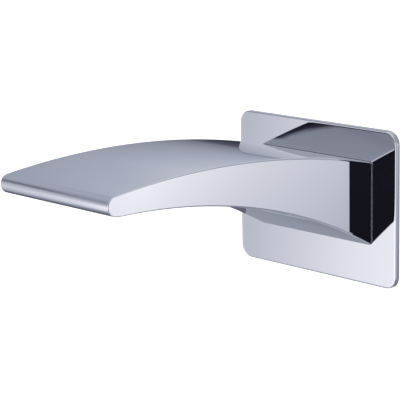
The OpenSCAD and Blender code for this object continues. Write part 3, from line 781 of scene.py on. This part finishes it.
def makeArm(sizes):
    arm = makeArmBlank(sizes)
    innerHalf, clear = sizes["width"] / 2 - sizes["wall"], sizes["clear"]
    cavity = sideSolid(innerHalf, sizes["wall"], sizes["cavityFrom"], sizes["cavitySteps"])
    cutAway(cavity, [slotBox(*outletSizes["pad"])])
    pocketOut, pocketLow, pocketHigh = sizes["pocket"]
    cutters = [outwardBox(clear, -clear, sizes["backOut"], -clear, clear),
               outwardBox(innerHalf, sizes["backOut"] - 1, pocketOut, pocketLow, pocketHigh),
               outwardBox(*sizes["window"]), cavity]
    cutAway(arm, cutters + [slotBox(*recess) for recess in outletSizes["recesses"]])
    reshape(arm.data, lambda build: easeBackEdge(build, sizes))
    finishPiece(arm, "chrome_body", "spout_body", 32)


makeArm(armSizes)


def roundedLoop(width, height, radius, steps, centreZ):
    points = []
    for cornerX, cornerZ, first in ((1, 1, 0), (-1, 1, 90), (-1, -1, 180), (1, -1, 270)):
        for i in range(steps + 1):
            angle = radians(first + 90 * i / steps)
            points.append((cornerX * (width / 2 - radius) + radius * cos(angle),
                           centreZ + cornerZ * (height / 2 - radius) + radius * sin(angle)))
    return points


# Rounded rectangles, one for each [inset, distance out]: a slab with two caps, or a band closed into a ring
def roundedSolid(name, sizes, profile, ring=False):
    points = []
    for inset, out in profile:
        radius = max(sizes["cornerRadius"] - inset, sizes.get("leastRadius", 0.2))
        loop = roundedLoop(sizes["width"] - 2 * inset, sizes["height"] - 2 * inset, radius,
                           sizes["cornerSteps"], sizes["centreZ"])
        points += [(x, -out, z) for x, z in loop]
    return solidFrom(name, points, loopFaces(len(loop), len(profile), ring))


plateSizes = {   # millimetres
    "width": 121.0, "height": 88.0, "centreZ": -4.25, "cornerRadius": 7.5, "cornerSteps": 18,
    "back": 0.3, "backEdge": 0.25, "front": 3.6,
    "edgeInset": 1.5, "edgeDepth": 1.2, "edgePower": 3.4, "edgeSteps": 22,
    # how the front edge rounds off
    "holeRadius": 14.2, "through": 5.0,
    "screwX": 24.0, "screwZ": (-11.71, 13.518), "headRadius": 3.8, "screwRadius": 2.0, "screwGap": 0.15,
}
grooveSizes = {"width": 113.5, "height": 80.5, "centreZ": -4.25, "cornerRadius": 3.75, "cornerSteps": 8,
               "band": 10.5, "depth": 1.3}


def makePlate(sizes, groove):
    back, front, through = sizes["back"], sizes["front"], sizes["through"]
    profile = [(sizes["backEdge"], back), (0.0, back + sizes["backEdge"])]
    for i in range(sizes["edgeSteps"] + 1):
        turn = pi / 2 * i / sizes["edgeSteps"]
        near, far = (max(f(turn), 0) ** (2 / sizes["edgePower"]) for f in (cos, sin))
        profile.append((sizes["edgeInset"] * (1 - near), front - sizes["edgeDepth"] * (1 - far)))
    plate = roundedSolid("wallPlate", sizes, profile)
    grooveProfile = [(0, -1), (0, groove["depth"]), (groove["band"], groove["depth"]), (groove["band"], -1)]
    cutters = [outwardRod(0, 0, sizes["holeRadius"], sizes["holeRadius"], -1, through, 96),
               roundedSolid("cutter", groove, grooveProfile, True)]
    for x in (-sizes["screwX"], sizes["screwX"]):
        for z in sizes["screwZ"]:
            cutters += sunkHole(x, z, sizes, back, through)
    cutAway(plate, cutters)
    finishPiece(plate, "chrome_plate", "wall_plate", 32)


makePlate(plateSizes, grooveSizes)

sealSizes = {"inset": 0.45, "band": 5.0, "back": 3.6, "front": 4.1, "bead": 0.12, "beadHalf": 0.15,
             "cornerRadius": 1.2, "cornerSteps": 6}   # millimetres


# The thin seal between the arm and the plate, with a bead that shows all round
def makeSeal(sizes, arm):
    top, bottom, back, front = arm["backTopZ"], arm["backUnderZ"], sizes["back"], sizes["front"]
    inset, bead, inner = sizes["inset"], sizes["bead"], sizes["inset"] + sizes["band"]
    middle, half = (back + front) / 2, sizes["beadHalf"]
    profile = [(inset + bead, back), (inset + bead / 4, middle - half), (inset, middle),
               (inset + bead / 4, middle + half), (inset + bead, front), (inner - bead, front),
               (inner, middle), (inner - bead, back)]
    outer = {**sizes, "width": arm["width"], "height": top - bottom, "centreZ": (top + bottom) / 2}
    finishPiece(roundedSolid("plateSeal", outer, profile, True), "clear_silicone", "plate_seal", 50)


makeSeal(sealSizes, armSizes)


# Spins a profile round the outward axis, once at each place, with ridges and a six-sided socket where
# it asks for them
def turnedTree():
    tree = bpy.data.node_groups.new("turnedPart", "GeometryNodeTree")
    given, result = groupSockets(tree, ("Stations", "Sides", "Columns", "Rows"),
                                 ("Ridge Depth", "Ridge Pitch", "Span X", "Span Z", "Centre Z"))
    sides = calc(tree, "ADD", given["Sides"], 1.0)
    grid = addNode(tree, "GeometryNodeMeshGrid", {"Vertices X": given["Stations"], "Vertices Y": sides})
    along, turn, _ = split(tree, grid.outputs["UV Map"])
    station = calc(tree, "ROUND", calc(tree, "MULTIPLY", along,
                                       calc(tree, "SUBTRACT", given["Stations"], 1.0)))
    angle = calc(tree, "MULTIPLY", turn, 2 * pi)
    position = addNode(tree, "GeometryNodeInputPosition").outputs[0]
    place = sampled(tree, given["Geometry"], position, station)
    ridge, hexed = (sampled(tree, given["Geometry"], attribute(tree, name, "FLOAT"), station, "FLOAT")
                    for name in ("ridge", "hexed"))
    radius, out, _ = split(tree, place)
    climb = calc(tree, "ADD", calc(tree, "DIVIDE", out, given["Ridge Pitch"]), turn)
    groove = calc(tree, "MULTIPLY", calc(tree, "PINGPONG", climb, 0.5), 2.0)
    cut = calc(tree, "MULTIPLY", calc(tree, "MULTIPLY", groove, given["Ridge Depth"]), ridge)
    radius = calc(tree, "SUBTRACT", radius, cut)
    facet = calc(tree, "SUBTRACT", calc(tree, "FLOORED_MODULO", angle, pi / 3), pi / 6)
    stretch = calc(tree, "SUBTRACT", calc(tree, "DIVIDE", 1.0, calc(tree, "COSINE", facet)), 1.0)
    radius = calc(tree, "MULTIPLY", radius, calc(tree, "MULTIPLY_ADD", stretch, hexed, 1.0))
    spun = combine(tree, calc(tree, "MULTIPLY", radius, calc(tree, "COSINE", angle)),
                   calc(tree, "MULTIPLY", out, -1.0),
                   calc(tree, "MULTIPLY", radius, calc(tree, "SINE", angle)))
    skin = addNode(tree, "GeometryNodeSetPosition", {"Geometry": grid.outputs["Mesh"], "Position": spun})
    whole = addNode(tree, "GeometryNodeMergeByDistance",
                    {"Geometry": skin.outputs[0], "Distance": mergeDistance})
    spots = addNode(tree, "GeometryNodeMeshGrid", {"Size X": given["Span X"], "Size Y": given["Span Z"],
                                                   "Vertices X": given["Columns"],
                                                   "Vertices Y": given["Rows"]})
    upright = addNode(tree, "GeometryNodeTransform", {"Geometry": spots.outputs["Mesh"],
                                                      "Rotation": (pi / 2, 0, 0),
                                                      "Translation": combine(tree, z=given["Centre Z"])})
    copies = addNode(tree, "GeometryNodeInstanceOnPoints",
                     {"Points": upright.outputs[0], "Instance": whole.outputs[0]})
    dress(tree, copies.outputs[0], given["Finish"], result)
    return tree


# The profile's points as [radius, distance out, kind of run that starts there]; a thread gets eight points
# a turn
def profileMesh(name, profile, pitch):
    made = []
    for here, after in zip(profile, profile[1:] + [None]):
        radius, out, kind = (*here, "")[:3]
        made.append((radius, out, 0.0, 1.0 if kind == "hex" else 0.0))
        if kind == "thread":
            steps = max(int(abs(after[1] - out) / pitch * 8), 2)
            made += [(radius + (after[0] - radius) * i / steps, out + (after[1] - out) * i / steps, 1.0, 0.0)
                     for i in range(1, steps)]
    mesh = bpy.data.meshes.new(name)
    mesh.from_pydata([(radius * millimetre, out * millimetre, 0) for radius, out, _, _ in made], [], [])
    for key, column in (("ridge", 2), ("hexed", 3)):
        values = mesh.attributes.new(key, "FLOAT", "POINT")
        for i, point in enumerate(made):
            values.data[i].value = point[column]
    return mesh, len(made)


spinTree = turnedTree()


def makeTurned(name, slot, node, sizes):
    pitch = sizes.get("pitch", 1.0)
    mesh, stations = profileMesh(name, sizes["profile"], pitch)
    columns, rows, spanX, spanZ, centreZ = sizes.get("places", (1, 1, 0, 0, 0))
    piece = runTree(linked(name, mesh), spinTree, {
        "Stations": stations, "Sides": sizes["sides"], "Ridge Depth": sizes.get("ridge", 0.0) * millimetre,
        "Ridge Pitch": pitch * millimetre, "Columns": columns, "Rows": rows, "Span X": spanX * millimetre,
        "Span Z": spanZ * millimetre, "Centre Z": centreZ * millimetre, "Finish": finishes[slot]})
    reshape(piece.data, mergeAndTurn)
    finishPiece(piece, slot, node, 38, inSlot=sizes.get("inSlot", False))


# A ring's closed profile with every corner eased
def ringProfile(inner, outer, back, front, ease):
    soft = 0.3 * ease
    corners = [(inner, back + ease), (inner + soft, back + soft), (inner + ease, back), (outer - ease, back),
               (outer - soft, back + soft), (outer, back + ease), (outer, front - ease),
               (outer - soft, front - soft),
               (outer - ease, front), (inner + ease, front), (inner + soft, front - soft),
               (inner, front - ease)]
    return corners + corners[:1]


# Columns, rows, the distances that they span, and the height of their middle
blockPlaces = (2, 2, 73.4, 25.228, 0.904)
platePlaces = (2, 2, 48.0, 25.228, 0.904)
outletPlaces = (2, 1, 2 * outletSizes["screwX"], 0, 0)

adapterSizes = {   # millimetres
    "pitch": 1.814, "ridge": 1.16, "sides": 96,
    "profile": [(8.0, -13.8), (8.2, -14.0), (9.48, -14.0), (10.48, -13.0, "thread"), (10.48, 0.1), (9.4, 0.1),
                (9.4, 1.6), (13.2, 1.6), (13.5, 1.9), (13.5, 5.3), (13.2, 5.6), (10.48, 5.6, "thread"),
                (10.48, 17.3),
                (10.0, 17.774), (6.8, 17.774, "hex"), (6.5, 17.474, "hex"), (6.5, 10.774, "hex"),
                (6.0, 10.774), (6.0, -11.9), (8.0, -11.9), (8.0, -13.8)],
}
blockScrewSizes = {
    "pitch": 0.5, "ridge": 0.28, "sides": 36, "places": blockPlaces,
    "profile": [(0, 5.9), (1.375, 5.9, "hex"), (1.375, 4.5, "hex"), (1.475, 4.4, "hex"), (2.55, 4.4),
                (2.75, 4.6),
                (2.75, 7.3), (2.65, 7.4), (1.5, 7.4, "thread"), (1.5, 17.9), (1.1, 18.4), (0, 18.4)],
}
plateScrewSizes = {
    "pitch": 0.7, "ridge": 0.38, "sides": 36, "places": platePlaces,
    "profile": [(0, 1.2), (1.9, 1.2, "hex"), (1.9, 0.4, "hex"), (2.0, 0.3, "hex"), (3.68, 0.3), (3.73, 0.38),
                (2.0, 2.1), (2.0, 4.6, "thread"), (2.0, 9.9), (1.5, 10.4), (0, 10.4)],
}
outletScrewSizes = {
    "pitch": 0.45, "ridge": 0.24, "sides": 36, "places": outletPlaces, "inSlot": True,
    "profile": [(0, 0.595), (1.1, 0.595, "hex"), (1.1, 0.2, "hex"), (1.18, 0.12, "hex"), (2.1, 0.12),
                (2.13, 0.18), (1.25, 1.07), (1.25, 1.5, "thread"), (1.25, 4.0), (0.95, 4.32), (0, 4.32)],
}
screwWasherSizes = {"sides": 48, "places": blockPlaces, "profile": ringProfile(1.54, 3.0, 7.4, 7.9, 0.1)}
adapterWasherSizes = {"sides": 96, "profile": ringProfile(10.6, 13.5, 5.6, 6.6, 0.12)}
inletWasherSizes = {"sides": 96, "profile": ringProfile(10.6, 13.5, 0.1, 1.6, 0.3)}
strainerRingSizes = {"sides": 72, "profile": ringProfile(6.52, 7.92, -14.0, -12.4, 0.2)}

makeTurned("inletAdapter", "turned_brass", "inlet_adapter", adapterSizes)
makeTurned("blockScrews", "screw_steel", "block_screws", blockScrewSizes)
makeTurned("plateScrews", "screw_steel", "plate_screws", plateScrewSizes)
makeTurned("outletScrews", "screw_steel", "outlet_screws", outletScrewSizes)
makeTurned("screwWashers", "screw_steel", "screw_washers", screwWasherSizes)
makeTurned("adapterWasher", "red_fibre", "adapter_washer", adapterWasherSizes)
makeTurned("inletWasher", "black_rubber", "inlet_washer", inletWasherSizes)
makeTurned("strainerRing", "orange_plastic", "strainer_ring", strainerRingSizes)


# A middle hole with rings of six, twelve and so on round it, on a round sheet
def ringSpots(tree, given):
    border = addNode(tree, "GeometryNodeCurvePrimitiveCircle",
                     {"Radius": given["Width"], "Resolution": 96}).outputs[0]
    ringsTwice = calc(tree, "MULTIPLY", given["Rings"], calc(tree, "ADD", given["Rings"], 1.0))
    line = addNode(tree, "GeometryNodeMeshLine", {"Count": calc(tree, "MULTIPLY_ADD", ringsTwice, 3.0,
                                                                1.0)}).outputs[0]
    index = addNode(tree, "GeometryNodeInputIndex").outputs[0]
    rooted = calc(tree, "SQRT", calc(tree, "MULTIPLY_ADD", index, 12.0, 9.0))
    number = calc(tree, "DIVIDE", calc(tree, "SUBTRACT", rooted, 3.0), 6.0)
    ring = calc(tree, "CEIL", calc(tree, "SUBTRACT", number, 0.0001))
    before = calc(tree, "MULTIPLY", ring, calc(tree, "SUBTRACT", ring, 1.0))
    sinceFirst = calc(tree, "SUBTRACT", index, calc(tree, "MULTIPLY_ADD", before, 3.0, 1.0))
    stepAngle = calc(tree, "DIVIDE", pi / 3, calc(tree, "MAXIMUM", ring, 1.0))
    angle = calc(tree, "MULTIPLY", sinceFirst, stepAngle)
    away = calc(tree, "MULTIPLY", ring, given["Step X"])
    spot = combine(tree, calc(tree, "MULTIPLY", away, calc(tree, "COSINE", angle)),
                   calc(tree, "MULTIPLY", away, calc(tree, "SINE", angle)))
    return border, addNode(tree, "GeometryNodeSetPosition", {"Geometry": line, "Position": spot}).outputs[0]


# Rows of holes on a sheet with rounded corners
def rowSpots(tree, given):
    sides = {"Width": given["Width"], "Height": given["Height"]}
    rectangle = addNode(tree, "GeometryNodeCurvePrimitiveQuadrilateral", sides).outputs[0]
    corners = {"Curve": rectangle, "Radius": given["Corner"], "Count": 5}
    border = addNode(tree, "GeometryNodeFilletCurve", corners, mode="POLY").outputs[0]
    spanX, spanY = (calc(tree, "MULTIPLY", given[step], calc(tree, "SUBTRACT", given[number], 1.0))
                    for step, number in (("Step X", "Columns"), ("Step Y", "Rows")))
    spots = addNode(tree, "GeometryNodeMeshGrid", {"Size X": spanX, "Size Y": spanY,
                                                   "Vertices X": given["Columns"],
                                                   "Vertices Y": given["Rows"]})
    return border, spots.outputs[0]


def joined(tree, *parts):
    node = addNode(tree, "GeometryNodeJoinGeometry")
    for part in parts:
        tree.links.new(part, node.inputs[0])
    return node.outputs[0]


# A flat sheet with a pattern of holes, given a thickness
def piercedTree(name, pattern):
    tree = bpy.data.node_groups.new(name, "GeometryNodeTree")
    given, result = groupSockets(tree, ("Hole Sides", "Rings", "Columns", "Rows"),
                                 ("Width", "Height", "Corner", "Thickness", "Hole Radius", "Step X",
                                  "Step Y"))
    border, spots = pattern(tree, given)
    circle = {"Radius": given["Hole Radius"], "Resolution": given["Hole Sides"]}
    hole = addNode(tree, "GeometryNodeCurvePrimitiveCircle", circle).outputs[0]
    holes = addNode(tree, "GeometryNodeInstanceOnPoints", {"Points": spots, "Instance": hole}).outputs[0]
    lines = joined(tree, border, addNode(tree, "GeometryNodeRealizeInstances", {0: holes}).outputs[0])
    sheet = addNode(tree, "GeometryNodeFillCurve", {0: lines}).outputs[0]
    raised = addNode(tree, "GeometryNodeExtrudeMesh", {"Mesh": sheet,
                                                       "Offset": combine(tree, z=given["Thickness"]),
                                                       "Offset Scale": 1.0, "Individual": False}).outputs[0]
    both = joined(tree, raised, addNode(tree, "GeometryNodeFlipFaces", {0: sheet}).outputs[0])
    whole = addNode(tree, "GeometryNodeMergeByDistance",
                    {"Geometry": both, "Distance": mergeDistance}).outputs[0]
    dress(tree, whole, given["Finish"], result)
    return tree


sheetTrees = {"rings": piercedTree("piercedRings", ringSpots), "rows": piercedTree("piercedRows", rowSpots)}
sheetLengths = {"Width": "width", "Height": "height", "Corner": "corner", "Thickness": "thickness",
                "Hole Radius": "holeRadius", "Step X": "stepX", "Step Y": "stepY"}


def makePierced(name, slot, node, sizes):
    lengths = {socket: sizes.get(key, 0.0) * millimetre for socket, key in sheetLengths.items()}
    counts = {"Hole Sides": sizes["holeSides"], "Rings": sizes.get("rings", 0),
              "Columns": sizes.get("columns", 1), "Rows": sizes.get("rows", 1)}
    values = {**lengths, **counts, "Finish": finishes[slot]}
    piece = runTree(linked(name, bpy.data.meshes.new(name)), sheetTrees[sizes["pattern"]], values)
    upright = Matrix.Rotation(pi / 2, 4, "X")
    piece.data.transform(Matrix.Translation((0, -sizes["back"] * millimetre, 0)) @ upright)
    reshape(piece.data, mergeAndTurn)
    finishPiece(piece, slot, node, 40, sizes["ease"], inSlot=sizes.get("inSlot", False))


# Millimetres; the width of a round sheet is its radius
strainerSizes = {"pattern": "rings", "width": 7.92, "thickness": 0.5, "back": -12.4, "holeRadius": 0.55,
                 "holeSides": 20, "rings": 3, "stepX": 1.7, "ease": 0.06}
flowDiscSizes = {"pattern": "rings", "width": 10.45, "thickness": 2.4, "back": 17.774, "holeRadius": 1.1,
                 "holeSides": 28, "rings": 2, "stepX": 3.2, "ease": 0.18}
outletScreenSizes = {"pattern": "rows", "width": 63.8, "height": 7.8, "corner": 0.6, "thickness": 0.3,
                     "back": 5.0,
                     "holeRadius": 0.7, "holeSides": 20, "columns": 26, "rows": 3, "stepX": 2.3923,
                     "stepY": 2.1333, "ease": 0.04, "inSlot": True}

makePierced("strainerScreen", "mesh_steel", "strainer_screen", strainerSizes)
makePierced("flowDisc", "white_plastic", "flow_disc", flowDiscSizes)
makePierced("outletScreen", "mesh_steel", "outlet_screen", outletScreenSizes)

combSizes = {   # millimetres
    "width": 66.4, "height": 10.4, "centreZ": 0.0, "cornerRadius": 1.0, "cornerSteps": 6, "leastRadius": 0.3,
    "profile": [(0, 2.12), (0, 3.02), (1.3, 3.02), (1.3, 5.0)], "through": (1, 6),
    "cells": 16, "cellSpan": 3.9, "vane": 0.7, "cellDepth": 6.2, "firstCell": -31.2, "ease": 0.12,
}


def makeComb(sizes):
    comb = roundedSolid("outletComb", sizes, sizes["profile"])
    deep, (low, high) = sizes["cellDepth"] / 2, sizes["through"]
    cutters = []
    for i in range(sizes["cells"]):
        left = sizes["firstCell"] + i * sizes["cellSpan"] + sizes["vane"] / 2
        cutters.append(boxBetween((left, left + sizes["cellSpan"] - sizes["vane"]), (-low, -high),
                                  (-deep, deep)))
    cutAway(comb, cutters)
    finishPiece(comb, "white_plastic", "outlet_insert", 40, sizes["ease"], inSlot=True)


trimSizes = {   # millimetres
    "width": 80.8, "height": 14.8, "centreZ": 0.0, "cornerRadius": 0.4, "cornerSteps": 4, "bottom": 0.12,
    "top": 1.52,
    "opening": (31.2, 6.4), "through": 3, "headRadius": 2.2, "screwRadius": 1.25, "screwGap": 0.15,
    "ease": 0.1,
}


def makeTrim(sizes):
    bottom, through = sizes["bottom"], sizes["through"]
    trim = roundedSolid("outletTrim", sizes, [(0, bottom), (0, sizes["top"])])
    half, width = sizes["opening"]
    cutters = [outwardBox(half, -1, through, -width / 2, width / 2)]
    for x in (-outletSizes["screwX"], outletSizes["screwX"]):
        cutters += sunkHole(x, 0, sizes, bottom, through)
    cutAway(trim, cutters)
    finishPiece(trim, "chrome_body", "outlet_trim", 40, sizes["ease"], inSlot=True)


# A band's section, a little fuller in its middle
def bandProfile(sizes):
    band, bottom, top, bulge = (sizes[k] for k in ("band", "bottom", "top", "bulge"))
    middle = (bottom + top) / 2
    return [(bulge, bottom), (0, middle), (bulge, top), (band - bulge, top), (band, middle),
            (band - bulge, bottom)]


outletSealSizes = {"width": 66.4, "height": 10.4, "centreZ": 0.0, "cornerRadius": 0.8, "cornerSteps": 6,
                   "band": 2.0, "bottom": 1.52, "top": 2.12, "bulge": 0.08, "inSlot": True}
gasketSizes = {"width": 113.0, "height": 80.0, "centreZ": -4.25, "cornerRadius": 3.75, "cornerSteps": 8,
               "band": 10.0, "bottom": 0.0, "top": 1.3, "bulge": 0.25, "ease": 0.15}


def makeBand(name, slot, node, sizes):
    band = roundedSolid(name, sizes, bandProfile(sizes), True)
    finishPiece(band, slot, node, 50, sizes.get("ease", 0), 30, sizes.get("inSlot", False))


blockSealSizes = {   # millimetres
    "width": 80.1, "height": 35.328, "centreZ": 0.904, "cornerRadius": 0.6, "cornerSteps": 4, "back": 12.9,
    "front": 13.9, "window": (33.2, -13.2, 14.318), "holeRadius": 1.65, "screwX": 36.7,
    "screwZ": (-11.71, 13.518), "ease": 0.12,
}


def makeBlockSeal(sizes):
    back, front, radius = sizes["back"], sizes["front"], sizes["holeRadius"]
    seal = roundedSolid("blockSeal", sizes, [(0, back), (0, front)])
    half, low, high = sizes["window"]
    cutters = [outwardBox(half, back - 1, front + 1, low, high)]
    cutters += [outwardRod(x, z, radius, radius, back - 1, front + 1, 32)
                for x in (-sizes["screwX"], sizes["screwX"]) for z in sizes["screwZ"]]
    cutAway(seal, cutters)
    finishPiece(seal, "grey_rubber", "block_seal", 40, sizes["ease"])


makeComb(combSizes)
makeTrim(trimSizes)
makeBand("outletSeal", "grey_rubber", "outlet_seal", outletSealSizes)
makeBand("wallGasket", "foam_rubber", "wall_gasket", gasketSizes)
makeBlockSeal(blockSealSizes)


# A node that keeps its CAD shape
def dressNode(node, slot):
    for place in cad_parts[node].material_slots:
        place.material = finishes[slot]


dressNode("inlet_block", "cast_brass")
print("inlet_block has its finish")
